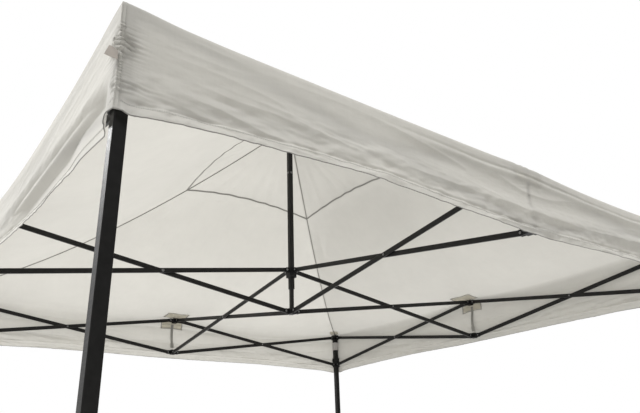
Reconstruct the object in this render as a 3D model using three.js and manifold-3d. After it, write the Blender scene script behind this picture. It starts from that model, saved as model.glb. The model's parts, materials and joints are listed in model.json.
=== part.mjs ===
// A 3 m pop up gazebo, opened, on its four legs.
//
// The frame is a linkage of straight bars. Four pairs of crossed roof arms run from the centre to the
// middle of each side, and two pairs of crossed truss bars close each side, from its middle to the legs.
// Every pair has one bar that starts at an upper pivot and one that starts at a lower pivot, so that all
// upper hubs stay level, all lower hubs drop together, and the whole frame folds to a bundle.
//
// Millimetres, +Z up. The origin is on the ground under the centre of the gazebo, and the front is -Y.
// Each side is built in its own frame: X points outwards, Y runs along the side and Z is up.

import * as THREE from "three";
import { mergeVertices } from "three/addons/utils/BufferGeometryUtils.js";
import Module from "manifold-3d";

const wasm = await Module();
wasm.setup();

// Driving dimensions of the frame
const LEG_REACH = 1450; // centre of the gazebo to the centre of a leg, along X and along Y
const UPPER_PIVOT = 2300; // height of the upper pivots
const TRUSS_DEPTH = 218; // lower pivots below the upper pivots
const PIVOT_REACH = 35; // centre of a hub, a slider or a leg to a pivot on it
const GAP = 0.4; // play on each side of a piece that moves against another

const BAR = { height: 18, thickness: 10, wall: 1.2, tail: 9, chamfer: 5 };
const STAGGER = 6; // the two bars of a pair lie this far to either side of their plane
const PIN = { radius: 3, holeRadius: 3.6, headRadius: 6, head: 2, sides: 8 };
const FORK = { cheek: 3, height: 24, reach: 11, chamfer: 6 };
const HUB = { half: 16, height: 32 };

// Legs, from the inside out
const INNER_LEG = { half: 12.5, wall: 1.5, top: 970 };
const OUTER_LEG = { half: 15, wall: 1.5, bottom: 820 };
const SLEEVE_HALF = 20.5; // the leg's top bracket, its bottom collar and the slider around it
const BRACKET = { top: 24, bottom: -16, roof: 10 };
const COLLAR_HEIGHT = 45;
const SLIDER = { bottom: -20, top: 52 };
const FOOT = { half: 35, thickness: 5, holeRadius: 5, holeInset: 11 };

// Spring buttons: one locks each slider to its leg, and one locks each inner leg
const BUTTON = { radius: 5.5, reach: 30, depth: 20.5, sides: 12 };
const BOSS = { reach: 26, half: 7.5, pocketDepth: 16.2 };
const SLIDER_BUTTON = { y: 9, z: 34 };
const LEG_BUTTON = { y: 0, z: 22 };

// Mast that holds up the peak
const MAST = { half: 12.5, wall: 1.5, bottom: -100, top: 838 };
const MAST_CAP = [[0, 0], [28, 0], [28, 8], [20, 18], [0, 24]];
const MAST_COLLAR = { half: 20, bottom: -38, top: 16 };
const ROD = { half: 9, wall: 1.5, top: 595, socket: 8 };

// Canopy, measured from the upper pivots
const CLOTH = { thickness: 1, eaveReach: 1478, eave: 30, hem: -245, peak: 884, sweep: 1.56 };
const PEAK_REACH = 6;
const ROOF_STEPS = 9;

// What follows from them
const SPAN = LEG_REACH - 2 * PIVOT_REACH;
const BAR_LENGTH = Math.hypot(SPAN, TRUSS_DEPTH);
const BAR_SLOPE = Math.atan2(TRUSS_DEPTH, SPAN);
const SLOT = BAR.thickness + 2 * GAP;
const LOWER_PIVOT = UPPER_PIVOT - TRUSS_DEPTH;
const QUARTER = Math.PI / 2;

const PAINT = new THREE.MeshStandardMaterial({ color: 0x222223, roughness: 0.45, metalness: 0.3 });
const PLASTIC = new THREE.MeshStandardMaterial({ color: 0x19191a, roughness: 0.6 });
const BUTTON_PLASTIC = new THREE.MeshStandardMaterial({ color: 0x2c2c2e, roughness: 0.5 });
const FABRIC = new THREE.MeshStandardMaterial({ color: 0xd9d5cc, roughness: 0.9 });

// Solids: three.js makes every shape, and manifold-3d joins and cuts them.

function solidOf(geometry) {
  const bare = geometry.clone();
  bare.deleteAttribute("normal");
  bare.deleteAttribute("uv");
  const merged = mergeVertices(bare, 1e-4);
  return new wasm.Manifold(
    new wasm.Mesh({
      numProp: 3,
      vertProperties: merged.attributes.position.array,
      triVerts: new Uint32Array(merged.index.array),
    }),
  );
}

function geometryOf(solid) {
  const mesh = solid.getMesh();
  const geometry = new THREE.BufferGeometry();
  geometry.setAttribute("position", new THREE.BufferAttribute(mesh.vertProperties, 3));
  geometry.setIndex(new THREE.BufferAttribute(mesh.triVerts, 1));
  const faceted = geometry.toNonIndexed();
  faceted.computeVertexNormals();
  return faceted;
}

function join(pieces) {
  return pieces.map(solidOf).reduce((whole, piece) => whole.add(piece));
}

function carve(pieces, cavities) {
  return geometryOf(join(pieces).subtract(join(cavities)));
}

function block([x0, y0, z0], [x1, y1, z1]) {
  const box = new THREE.BoxGeometry(x1 - x0, y1 - y0, z1 - z0);
  return box.translate((x0 + x1) / 2, (y0 + y1) / 2, (z0 + z1) / 2);
}

function post(half, bottom, top) {
  return block([-half, -half, bottom], [half, half, top]);
}

// A plate whose outline is drawn in X and Z, between two values of Y
function plate(outline, y0, y1) {
  const shape = new THREE.Shape(outline.map(([x, z]) => new THREE.Vector2(x, z)));
  const slab = new THREE.ExtrudeGeometry(shape, { depth: y1 - y0, bevelEnabled: false });
  return slab.rotateX(QUARTER).translate(0, y1, 0);
}

function cylinderAlongY(radius, sides, x, z, y0, y1) {
  const cylinder = new THREE.CylinderGeometry(radius, radius, y1 - y0, sides);
  return cylinder.translate(x, (y0 + y1) / 2, z);
}

function cylinderAlongX(radius, sides, y, z, x0, x1) {
  const cylinder = new THREE.CylinderGeometry(radius, radius, x1 - x0, sides);
  return cylinder.rotateZ(QUARTER).translate((x0 + x1) / 2, y, z);
}

// Bars: a flat tube along +X from its first pivot, at the origin, to its last one

function barOutline() {
  const half = BAR.height / 2;
  const low = -BAR.tail;
  const high = BAR_LENGTH + BAR.tail;
  return [
    [low, half - BAR.chamfer],
    [low, BAR.chamfer - half],
    [low + BAR.chamfer, -half],
    [high - BAR.chamfer, -half],
    [high, BAR.chamfer - half],
    [high, half - BAR.chamfer],
    [high - BAR.chamfer, half],
    [low + BAR.chamfer, half],
  ];
}

function barTube(holes) {
  const halfThickness = BAR.thickness / 2;
  const body = plate(barOutline(), -halfThickness, halfThickness);
  const boreY = halfThickness - BAR.wall;
  const boreZ = BAR.height / 2 - BAR.wall;
  const past = 2 * BAR.tail;
  const bore = block([-past, -boreY, -boreZ], [BAR_LENGTH + past, boreY, boreZ]);
  const drills = holes.map((x) => cylinderAlongY(PIN.holeRadius, PIN.sides, x, 0, -past, past));
  return join([body]).subtract(join([bore, ...drills]));
}

// The bar that carries the crossing pin, which points to one side (+1 or -1 along Y), through its partner
function pinnedBar(side) {
  const wallMiddle = BAR.thickness / 2 - BAR.wall / 2;
  const partnerFace = 2 * STAGGER + BAR.thickness / 2;
  const spacerEnd = 2 * STAGGER - BAR.thickness / 2 - GAP;
  const along = (radius, from, to) => {
    const ends = [side * from, side * to].sort((p, q) => p - q);
    return cylinderAlongY(radius, PIN.sides, BAR_LENGTH / 2, 0, ends[0], ends[1]);
  };
  const pin = along(PIN.radius, -wallMiddle, partnerFace + GAP + PIN.head);
  const spacer = along(PIN.headRadius, wallMiddle, spacerEnd);
  const head = along(PIN.headRadius, partnerFace + GAP, partnerFace + GAP + PIN.head);
  return geometryOf(barTube([0, BAR_LENGTH]).add(join([pin, spacer, head])));
}

function holedBar() {
  return geometryOf(barTube([0, BAR_LENGTH / 2, BAR_LENGTH]));
}

// Forks: two cheeks and a pin, reaching out from a core. The bar's end turns between the cheeks. `angle`
// is the way it points, and `offset` moves its slot off the core's centre, to the bar's own plane.
function fork(core, angle, offset) {
  const stagger = offset[1] * Math.cos(angle) - offset[0] * Math.sin(angle);
  const half = FORK.height / 2;
  const end = PIVOT_REACH + FORK.reach;
  const outline = [
    [core - 1, -half],
    [end - FORK.chamfer, -half],
    [end, FORK.chamfer - half],
    [end, half - FORK.chamfer],
    [end - FORK.chamfer, half],
    [core - 1, half],
  ];
  const inner = SLOT / 2;
  const outer = inner + FORK.cheek;
  const middle = inner + FORK.cheek / 2;
  const pieces = [
    plate(outline, stagger + inner, stagger + outer),
    plate(outline, stagger - outer, stagger - inner),
    cylinderAlongY(PIN.radius, PIN.sides, PIVOT_REACH, 0, stagger - middle, stagger + middle),
  ];
  return pieces.map((piece) => piece.rotateZ(angle));
}

// Hubs, with the origin at the height of their pivots

function sideHub(stagger) {
  const forks = [
    ...fork(HUB.half, Math.PI, [0, stagger]),
    ...fork(HUB.half, QUARTER, [stagger, 0]),
    ...fork(HUB.half, -QUARTER, [stagger, 0]),
  ];
  return geometryOf(join([post(HUB.half, -HUB.height / 2, HUB.height / 2), ...forks]));
}

function centreForks(core, stagger) {
  return [0, 1, 2, 3].flatMap((turn) => {
    const angle = turn * QUARTER;
    return fork(core, angle, [-stagger * Math.sin(angle), stagger * Math.cos(angle)]);
  });
}

function upperCentreHub() {
  const { half, bottom, top } = MAST_COLLAR;
  const hole = post(MAST.half + GAP, bottom - 1, top + 1);
  return carve([post(half, bottom, top), ...centreForks(half, STAGGER)], [hole]);
}

function lowerCentreHub() {
  const top = HUB.height / 2;
  const socket = post(ROD.half + GAP, -ROD.socket, top + 1);
  return carve([post(HUB.half, -top, top), ...centreForks(HUB.half, -STAGGER)], [socket]);
}

// Mast, measured from the upper pivots: a tube under the peak, and the rod that slides in it

function mastTube() {
  const { half, wall, bottom, top } = MAST;
  const profile = MAST_CAP.map(([r, z]) => new THREE.Vector2(r, z));
  const cap = new THREE.LatheGeometry(profile, 16).rotateX(QUARTER).translate(0, 0, top);
  return carve([post(half, bottom, top + 1), cap], [post(half - wall, bottom - 1, top - wall)]);
}

function mastRod() {
  const { half, wall, top, socket } = ROD;
  const bottom = GAP - TRUSS_DEPTH - socket;
  return carve([post(half, bottom, top)], [post(half - wall, bottom - 1, top + 1)]);
}

// Button housing on the face that looks to the middle of the gazebo

function boss({ y, z }) {
  const { reach, half } = BOSS;
  return block([-reach, y - half, z - half], [1 - SLEEVE_HALF, y + half, z + half]);
}

function pocket({ y, z }) {
  return cylinderAlongX(BUTTON.radius + GAP, BUTTON.sides, y, z, -BOSS.reach - 1, -BOSS.pocketDepth);
}

function button({ y, z }) {
  return cylinderAlongX(BUTTON.radius, BUTTON.sides, y, z, -BUTTON.reach, -BUTTON.depth);
}

// Legs and sliders

function cornerForks(stagger) {
  const alongSide = fork(SLEEVE_HALF, -QUARTER, [stagger, 0]);
  const alongNextSide = fork(SLEEVE_HALF, Math.PI, [0, stagger]);
  return [...alongSide, ...alongNextSide];
}

// The outer leg with its top bracket and its bottom collar, measured from the upper pivots
function outerLeg() {
  const bottom = OUTER_LEG.bottom - UPPER_PIVOT;
  const place = { y: LEG_BUTTON.y, z: bottom + LEG_BUTTON.z };
  const pieces = [
    post(OUTER_LEG.half, bottom, BRACKET.bottom + 1),
    post(SLEEVE_HALF, BRACKET.bottom, BRACKET.top),
    post(SLEEVE_HALF, bottom, bottom + COLLAR_HEIGHT),
    boss(place),
    ...cornerForks(STAGGER),
  ];
  const bore = post(OUTER_LEG.half - OUTER_LEG.wall, bottom - 1, BRACKET.top - BRACKET.roof);
  return carve(pieces, [bore, pocket(place)]);
}

// The inner leg on its foot plate, measured from the ground
function innerLeg() {
  const { half, wall, top } = INNER_LEG;
  const { thickness, holeRadius, holeInset } = FOOT;
  const hole = new THREE.CylinderGeometry(holeRadius, holeRadius, 4 * thickness, PIN.sides);
  const inset = FOOT.half - holeInset;
  const pegHole = hole.rotateX(QUARTER).translate(inset, inset, 0);
  const pieces = [post(FOOT.half, 0, thickness), post(half, thickness - 1, top)];
  return carve(pieces, [post(half - wall, thickness, top + 1), pegHole]);
}

// The slider, measured from the lower pivots
function slider() {
  const { bottom, top } = SLIDER;
  const sleeve = post(SLEEVE_HALF, bottom, top);
  const bore = post(OUTER_LEG.half + GAP, bottom - 1, top + 1);
  return carve([sleeve, boss(SLIDER_BUTTON), ...cornerForks(-STAGGER)], [bore, pocket(SLIDER_BUTTON)]);
}

// Canopy: each side is one sheet, from the peak down to the eave and on down to the hem, between two hips

function roofHeight(reach) {
  const { eaveReach, eave, peak, sweep } = CLOTH;
  return eave + (peak - eave) * (1 - reach / eaveReach) ** sweep;
}

function canopySection() {
  const { thickness, eaveReach, eave, hem } = CLOTH;
  const outside = [];
  const inside = [];
  for (let step = 0; step < ROOF_STEPS; step += 1) {
    const reach = PEAK_REACH + ((eaveReach - PEAK_REACH) * step) / ROOF_STEPS;
    outside.push([reach, roofHeight(reach)]);
    inside.push([reach, roofHeight(reach) - 1.2 * thickness]);
  }
  outside.push([eaveReach, eave], [eaveReach, hem]);
  inside.push([eaveReach - thickness, eave - thickness], [eaveReach - thickness, hem]);
  return { outside, inside };
}

function canopySide() {
  const { outside, inside } = canopySection();
  const loop = [...outside, ...inside.reverse()];
  const count = loop.length;
  const positions = [];
  for (const side of [-1, 1]) {
    for (const [reach, height] of loop) positions.push(reach, side * (reach - GAP), height);
  }
  const indices = [];
  const quad = (a, b, c, d) => indices.push(a, b, c, a, c, d);
  for (let i = 0; i < count; i += 1) {
    const next = (i + 1) % count;
    quad(i, next, count + next, count + i);
  }
  for (let i = 0; i + 1 < count / 2; i += 1) {
    const across = count - 1 - i;
    quad(i, across, across - 1, i + 1);
    quad(count + i, count + i + 1, count + across - 1, count + across);
  }
  const sheet = new THREE.BufferGeometry();
  sheet.setAttribute("position", new THREE.Float32BufferAttribute(positions, 3));
  sheet.setIndex(indices);
  return geometryOf(solidOf(sheet));
}

// Assembly

const gazebo = new THREE.Group();

function add(group, name, geometry, material, position = [0, 0, 0]) {
  const mesh = new THREE.Mesh(geometry, material);
  mesh.name = name;
  mesh.position.set(...position);
  group.add(mesh);
  return mesh;
}

const SHAPES = {
  pinned: { [-1]: pinnedBar(-1), 1: pinnedBar(1) },
  holed: holedBar(),
  upperSideHub: sideHub(-STAGGER),
  lowerSideHub: sideHub(STAGGER),
  outerLeg: outerLeg(),
  innerLeg: innerLeg(),
  slider: slider(),
  sliderButton: button(SLIDER_BUTTON),
  legButton: button(LEG_BUTTON),
  canopySide: canopySide(),
};

// Two crossed bars from a hub at the group's origin outwards along +X. The pinned bar lies on the side that
// its pin points away from, and falls or rises; the other one does the opposite.
function addPair(group, pinnedName, holedName, pinSide, pinnedFalls) {
  const fall = pinnedFalls ? 1 : -1;
  const start = (falls) => (falls > 0 ? UPPER_PIVOT : LOWER_PIVOT);
  const pinnedPlace = [PIVOT_REACH, -pinSide * STAGGER, start(fall)];
  const holedPlace = [PIVOT_REACH, pinSide * STAGGER, start(-fall)];
  add(group, pinnedName, SHAPES.pinned[pinSide], PAINT, pinnedPlace).rotation.y = fall * BAR_SLOPE;
  add(group, holedName, SHAPES.holed, PAINT, holedPlace).rotation.y = -fall * BAR_SLOPE;
}

function addCorner(side, corner) {
  const base = [LEG_REACH, LEG_REACH, 0];
  const high = [LEG_REACH, LEG_REACH, UPPER_PIVOT];
  const low = [LEG_REACH, LEG_REACH, LOWER_PIVOT];
  const legBottom = [LEG_REACH, LEG_REACH, OUTER_LEG.bottom];
  add(side, `outer_leg_${corner}`, SHAPES.outerLeg, PAINT, high);
  add(side, `inner_leg_${corner}`, SHAPES.innerLeg, PAINT, base);
  add(side, `leg_button_${corner}`, SHAPES.legButton, BUTTON_PLASTIC, legBottom);
  add(side, `slider_${corner}`, SHAPES.slider, PLASTIC, low);
  add(side, `slider_button_${corner}`, SHAPES.sliderButton, BUTTON_PLASTIC, low);
}

function addTruss(side, name, corner, direction) {
  const half = new THREE.Group();
  half.position.x = LEG_REACH;
  half.rotation.z = direction * QUARTER;
  side.add(half);
  addPair(half, `truss_${name}_${corner}_outer`, `truss_${name}_${corner}_inner`, direction, false);
}

// Each side, its turn about Z, and the corners at its two ends
const SIDES = [
  ["front", -QUARTER, "front_left", "front_right"],
  ["right", 0, "front_right", "back_right"],
  ["back", QUARTER, "back_right", "back_left"],
  ["left", Math.PI, "back_left", "front_left"],
];

for (const [name, turn, startCorner, endCorner] of SIDES) {
  const side = new THREE.Group();
  side.rotation.z = turn;
  gazebo.add(side);
  addPair(side, `roof_arm_${name}_upper`, `roof_arm_${name}_lower`, -1, true);
  add(side, `upper_hub_${name}`, SHAPES.upperSideHub, PLASTIC, [LEG_REACH, 0, UPPER_PIVOT]);
  add(side, `lower_hub_${name}`, SHAPES.lowerSideHub, PLASTIC, [LEG_REACH, 0, LOWER_PIVOT]);
  addTruss(side, name, startCorner, -1);
  addTruss(side, name, endCorner, 1);
  addCorner(side, endCorner);
  add(side, `canopy_${name}`, SHAPES.canopySide, FABRIC, [0, 0, UPPER_PIVOT]);
}

add(gazebo, "upper_hub_centre", upperCentreHub(), PLASTIC, [0, 0, UPPER_PIVOT]);
add(gazebo, "lower_hub_centre", lowerCentreHub(), PLASTIC, [0, 0, LOWER_PIVOT]);
add(gazebo, "mast_tube", mastTube(), PAINT, [0, 0, UPPER_PIVOT]);
add(gazebo, "mast_rod", mastRod(), PAINT, [0, 0, UPPER_PIVOT]);

export default gazebo;
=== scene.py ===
"""Looks of the pop up gazebo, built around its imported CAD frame."""

import json
import math

import bmesh
import bpy
import numpy as np
from mathutils import Matrix, Vector

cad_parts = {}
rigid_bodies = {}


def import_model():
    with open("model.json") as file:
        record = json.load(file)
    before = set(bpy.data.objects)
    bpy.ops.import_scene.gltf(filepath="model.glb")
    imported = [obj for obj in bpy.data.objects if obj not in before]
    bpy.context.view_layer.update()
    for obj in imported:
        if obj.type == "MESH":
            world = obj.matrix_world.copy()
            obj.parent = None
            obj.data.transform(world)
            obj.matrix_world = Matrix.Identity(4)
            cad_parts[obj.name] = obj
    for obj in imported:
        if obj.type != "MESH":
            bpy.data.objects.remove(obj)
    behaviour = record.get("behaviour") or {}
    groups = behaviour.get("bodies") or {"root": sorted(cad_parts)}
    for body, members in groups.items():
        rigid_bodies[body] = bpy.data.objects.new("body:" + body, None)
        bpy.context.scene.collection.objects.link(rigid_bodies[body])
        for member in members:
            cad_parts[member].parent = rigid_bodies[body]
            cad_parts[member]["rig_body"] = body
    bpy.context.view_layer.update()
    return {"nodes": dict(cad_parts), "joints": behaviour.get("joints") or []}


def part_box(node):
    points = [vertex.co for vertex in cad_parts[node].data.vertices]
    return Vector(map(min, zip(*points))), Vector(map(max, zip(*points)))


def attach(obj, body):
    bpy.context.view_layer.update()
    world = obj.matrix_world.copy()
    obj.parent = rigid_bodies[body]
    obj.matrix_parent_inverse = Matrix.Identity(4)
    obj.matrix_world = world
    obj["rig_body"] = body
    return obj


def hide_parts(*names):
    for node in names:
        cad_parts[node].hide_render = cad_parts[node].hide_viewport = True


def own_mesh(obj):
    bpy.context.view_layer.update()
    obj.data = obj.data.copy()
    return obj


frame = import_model()

# ---------------- Measures that the frame gives, in metres

PIVOTS = {j["name"]: Vector(j["pos_m"]) for j in frame["joints"] if "pos_m" in j}
UPPER = PIVOTS["fold"].z  # upper pivots
LOWER = PIVOTS["lower_hub_front_hinge"].z  # lower pivots
HUB_REACH = abs(PIVOTS["fold"].y)  # centre of a hub or leg to a pivot on it
STAGGER = abs(PIVOTS["fold"].x)  # the two bars of a pair lie this far off their plane
EAVE_REACH = abs(PIVOTS["canopy_front_hinge"].y)
EAVE_Z = PIVOTS["canopy_front_hinge"].z
HEM_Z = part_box("canopy_front")[0].z
PEAK_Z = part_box("canopy_front")[1].z + 0.005


def node_centre(node):
    low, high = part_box(node)
    return (high + low) / 2


LEG_REACH = node_centre("inner_leg_front_right").x  # centre of the gazebo to a leg's

# Each side of the gazebo: its turn about Z, and the corners at its two ends. A side's own frame has X
# outwards, Y along the side and Z up.
SIDES = {
    "front": (-math.pi / 2, "front_left", "front_right"),
    "right": (0.0, "front_right", "back_right"),
    "back": (math.pi / 2, "back_right", "back_left"),
    "left": (math.pi, "back_left", "front_left"),
}
SEEDS = {"front": 11, "right": 23, "back": 37, "left": 41}


def turn(side):
    return Matrix.Rotation(SIDES[side][0], 4, "Z")


def turned(side, points):
    """Points of a side's own frame, as an array in the gazebo's frame."""
    rotation = np.array(turn(side))[:3, :3]
    return np.asarray(points, float) @ rotation.T


# ---------------- Node-based materials


class Nodes:
    """An empty node tree, with short calls for the nodes that are used here."""

    def __init__(self, owner):
        self.owner = owner
        owner.use_nodes = True
        self.tree = owner.node_tree
        self.tree.nodes.clear()

    def node(self, kind, **inputs):
        made = self.tree.nodes.new(kind)
        for key, value in inputs.items():
            self.put(made, key.replace("_", " "), value)
        return made

    def put(self, node, key, value):
        socket = node.inputs[key] if isinstance(key, int) else self.socket(node, key)
        if isinstance(value, bpy.types.NodeSocket):
            self.tree.links.new(value, socket)
        else:
            socket.default_value = value

    @staticmethod
    def socket(node, name):
        for socket in node.inputs:
            if socket.name.lower() == name.lower() and socket.enabled:
                return socket
        raise KeyError(f"{node.bl_idname} has no input {name}")

    def maths(self, operation, a, b=0.0):
        node = self.node("ShaderNodeMath")
        node.operation = operation
        self.put(node, 0, a)
        self.put(node, 1, b)
        return node.outputs[0]

    def noise(self, where, scale, detail=4.0, rough=0.55):
        made = self.node("ShaderNodeTexNoise", Vector=where, Scale=scale, Detail=detail, Roughness=rough)
        return made.outputs[0]

    def spread(self, value, low, high):
        """Maps the middle of a noise, 0.3 to 0.7, to the range from low to high."""
        made = self.node("ShaderNodeMapRange", Value=value)
        made.inputs[1].default_value, made.inputs[2].default_value = 0.3, 0.7
        made.inputs[3].default_value, made.inputs[4].default_value = low, high
        return made.outputs[0]

    def ramp(self, value, *stops):
        made = self.tree.nodes.new("ShaderNodeValToRGB")
        self.put(made, 0, value)
        elements = made.color_ramp.elements
        while len(elements) < len(stops):
            elements.new(0.5)
        for element, (position, colour) in zip(elements, stops):
            element.position = position
            element.color = (*colour, 1.0)
        return made.outputs[0]

    def bump(self, height, distance, strength, normal=None):
        made = self.node("ShaderNodeBump", Height=height, Distance=distance, Strength=strength)
        if normal is not None:
            self.put(made, "Normal", normal)
        return made.outputs[0]

    def stretched(self, where, scale):
        made = self.node("ShaderNodeMapping", Vector=where)
        made.inputs["Scale"].default_value = scale
        return made.outputs[0]

    def coordinates(self, kind="Object"):
        return self.node("ShaderNodeTexCoord").outputs[kind]

    def principled(self, **inputs):
        return self.node("ShaderNodeBsdfPrincipled", **inputs).outputs[0]

    def finish(self, shader, kind="Material"):
        self.put(self.node("ShaderNodeOutput" + kind), 0, shader)
        return self.owner


def new_material(name):
    return Nodes(bpy.data.materials.new(name))


def scaled(colour, share):
    return [share * c for c in colour]


def powder_coat(name, tone, gloss):
    """Satin black powder coat: fine orange peel, thin dust and faint rub marks along the bars."""
    m = new_material(name)
    where = m.coordinates()
    cloud = m.noise(where, 9.0, 5.0)
    dust = m.noise(where, 60.0, 8.0, 0.7)
    rubs = m.noise(m.stretched(where, (40.0, 40.0, 400.0)), 1.0, 3.0)
    base = m.ramp(m.maths("MULTIPLY", cloud, dust), (0.12, tone), (0.42, scaled(tone, 1.9)))
    peel = m.noise(where, 650.0, 2.0)
    wear = m.maths("ADD", m.maths("MULTIPLY", rubs, 0.5), m.maths("MULTIPLY", dust, 0.5))
    return m.finish(m.principled(
        Base_Color=base,
        Roughness=m.spread(wear, gloss - 0.07, gloss + 0.12),
        Normal=m.bump(peel, 0.0004, 0.35, m.bump(cloud, 0.0008, 0.2)),
        Specular_IOR_Level=0.24,
    ))


def moulded_plastic(name, tone, gloss, grain):
    """Moulded plastic: eroded grain, and a little unevenness in its gloss."""
    m = new_material(name)
    where = m.coordinates()
    cloud = m.noise(where, 25.0, 4.0)
    speck = m.noise(where, 1400.0, 2.0)
    cells = m.node("ShaderNodeTexVoronoi", Vector=where, Scale=900.0)
    height = m.maths("ADD", m.maths("MULTIPLY", cells.outputs[0], 0.6), m.maths("MULTIPLY", speck, 0.4))
    return m.finish(m.principled(
        Base_Color=m.ramp(cloud, (0.3, tone), (0.7, scaled(tone, 1.5))),
        Roughness=m.spread(cloud, gloss - 0.06, gloss + 0.08),
        Normal=m.bump(height, grain, 0.5),
        Specular_IOR_Level=0.2,
    ))


def plated_steel(name, tone):
    """Zinc plated steel: fine turned rings, and a cloudy passivated tint."""
    m = new_material(name)
    where = m.coordinates()
    cloud = m.noise(where, 120.0, 5.0)
    fine = m.noise(where, 2600.0, 3.0)
    return m.finish(m.principled(
        Base_Color=m.ramp(cloud, (0.3, scaled(tone, 0.75)), (0.7, scaled(tone, 1.15))),
        Metallic=1.0,
        Roughness=m.spread(cloud, 0.26, 0.44),
        Normal=m.bump(fine, 0.0001, 0.4),
    ))


WAVES = 20 / (2 * math.pi)  # how often a wave texture of scale 1 repeats in one unit


def woven(name, tone, pitch, through):
    """Woven polyester: two sets of threads, uneven dye, fine creases, and light that comes through."""
    m = new_material(name)
    cloth = m.coordinates("UV")  # metres along the warp and the weft
    place = m.coordinates()
    threads = []
    for direction in ("X", "Y"):
        wave = m.node("ShaderNodeTexWave", Vector=cloth, Scale=1 / WAVES / pitch,
                      Distortion=0.6, Detail=1.0, Detail_Scale=2.0)
        wave.bands_direction = direction
        threads.append(wave.outputs["Fac"])
    weave = m.maths("MAXIMUM", threads[0], threads[1])
    dye = m.noise(place, 3.2, 6.0, 0.6)
    slub = m.noise(m.stretched(cloth, (160.0, 9.0, 1.0)), 1.0, 3.0)
    crease = m.noise(place, 38.0, 5.0, 0.6)
    soil = m.noise(place, 14.0, 8.0, 0.65)
    mixed = m.maths("ADD", m.maths("MULTIPLY", dye, 0.45), m.maths("MULTIPLY", soil, 0.35))
    mixed = m.maths("ADD", mixed, m.maths("MULTIPLY", slub, 0.2))
    base = m.ramp(mixed, (0.3, scaled(tone, 0.9)), (0.7, tone))
    normal = m.bump(weave, pitch * 0.08, 0.35, m.bump(crease, 0.0015, 0.55))
    surface = m.principled(
        Base_Color=base,
        Roughness=m.spread(slub, 0.78, 0.92),
        Normal=normal,
        Specular_IOR_Level=0.25,
        Sheen_Weight=0.12,
        Sheen_Roughness=0.5,
    )
    if not through:
        return m.finish(surface)
    lit = m.node("ShaderNodeBsdfTranslucent", Color=base, Normal=normal)
    mix = m.node("ShaderNodeMixShader")
    for key, value in enumerate((through, surface, lit.outputs[0])):
        m.put(mix, key, value)
    return m.finish(mix.outputs[0])


def floor_finish(name, tone):
    m = new_material(name)
    where = m.coordinates()
    return m.finish(m.principled(
        Base_Color=m.ramp(m.noise(where, 0.8, 6.0), (0.3, scaled(tone, 0.97)), (0.7, tone)),
        Roughness=0.85,
        Normal=m.bump(m.noise(where, 90.0, 4.0), 0.0006, 0.3),
    ))


FABRIC = (0.618, 0.603, 0.560)
PAINT = powder_coat("black_powder_coat", (0.0055, 0.0053, 0.005), 0.38)
PLASTIC = moulded_plastic("black_nylon", (0.006, 0.006, 0.0062), 0.46, 0.0003)
BUTTON = moulded_plastic("grey_button_plastic", (0.05, 0.05, 0.052), 0.34, 0.0001)
STEEL = plated_steel("zinc_plate", (0.2, 0.2, 0.2))
CANOPY = woven("canopy_polyester", FABRIC, 0.0011, 0.32)
# Seam tape: its dark tone is painted shade, for the light that the doubled cloth holds back.
TAPE_PAINTED_SHADE = woven("painted_shade_seam_tape", scaled(FABRIC, 0.46), 0.0014, 0.05)
# Reinforcement cloth: lighter than the canopy, painted light that offsets the shade of its extra layer.
PATCH_PAINTED_LIGHT = woven("painted_light_reinforcement_cloth", scaled(FABRIC, 1.42), 0.0012, 0.80)
# Corner strip: lighter than the canopy, painted light that offsets the shade it casts through the valance.
STRIP_PAINTED_LIGHT = woven("painted_light_corner_strip", scaled(FABRIC, 1.30), 0.0012, 0.75)
BORDER = woven("folded_border", scaled(FABRIC, 0.62), 0.0012, 0.2)
WEBBING = woven("webbing", scaled(FABRIC, 0.66), 0.0019, 0.4)
VELCRO = woven("hook_and_loop", (0.44, 0.42, 0.41), 0.0016, 0.0)
TAB = woven("tab_cloth", (0.37, 0.335, 0.3), 0.0016, 0.0)
THREAD = woven("thread", scaled(FABRIC, 0.5), 0.0004, 0.0)
# Hem edge: its dark tone is painted shade, for the shadow along the rolled lower edge of the hem.
HEM_EDGE_PAINTED_SHADE = woven("painted_shade_hem_edge", scaled(FABRIC, 0.36), 0.0010, 0.0)
FLOOR = floor_finish("pale_floor", (0.60, 0.597, 0.585))

# ---------------- Meshes


def smooth(x):
    x = np.clip(x, 0.0, 1.0)
    return x * x * (3.0 - 2.0 * x)


LATTICE = 64


def bell(x, centre, width):
    """From 1 at a centre down to nearly 0 at two widths from it."""
    return np.exp(-(((x - centre) / width) ** 2))


def noise(u, v, seed):
    """Smooth noise from -1 to 1, with about one bump for each unit of u and of v."""
    total = 0.0
    for octave, weight in enumerate((0.72, 0.28)):
        grid = np.random.default_rng(seed + 100 * octave).uniform(-1.0, 1.0, (LATTICE, LATTICE))
        a = (u + 0.37 * octave) * (1 + octave) + 0.31 * v
        b = (v + 0.61 * octave) * (1 + octave) - 0.27 * u
        ia, ib = np.floor(a).astype(int), np.floor(b).astype(int)
        fa, fb = smooth(a - ia), smooth(b - ib)
        corner = lambda p, q: grid[(ia + p) % LATTICE, (ib + q) % LATTICE]
        low = corner(0, 0) * (1 - fa) + corner(1, 0) * fa
        high = corner(0, 1) * (1 - fa) + corner(1, 1) * fa
        total = total + weight * (low * (1 - fb) + high * fb)
    return total


def ridges(u, v, seed, sharp):
    """Narrow crests between broad hollows, from 0 to 1."""
    return (1.0 - np.abs(noise(u, v, seed))) ** (2.0 * sharp)


def in_scene(name, data):
    obj = bpy.data.objects.new(name, data)
    bpy.context.scene.collection.objects.link(obj)
    return obj


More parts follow.
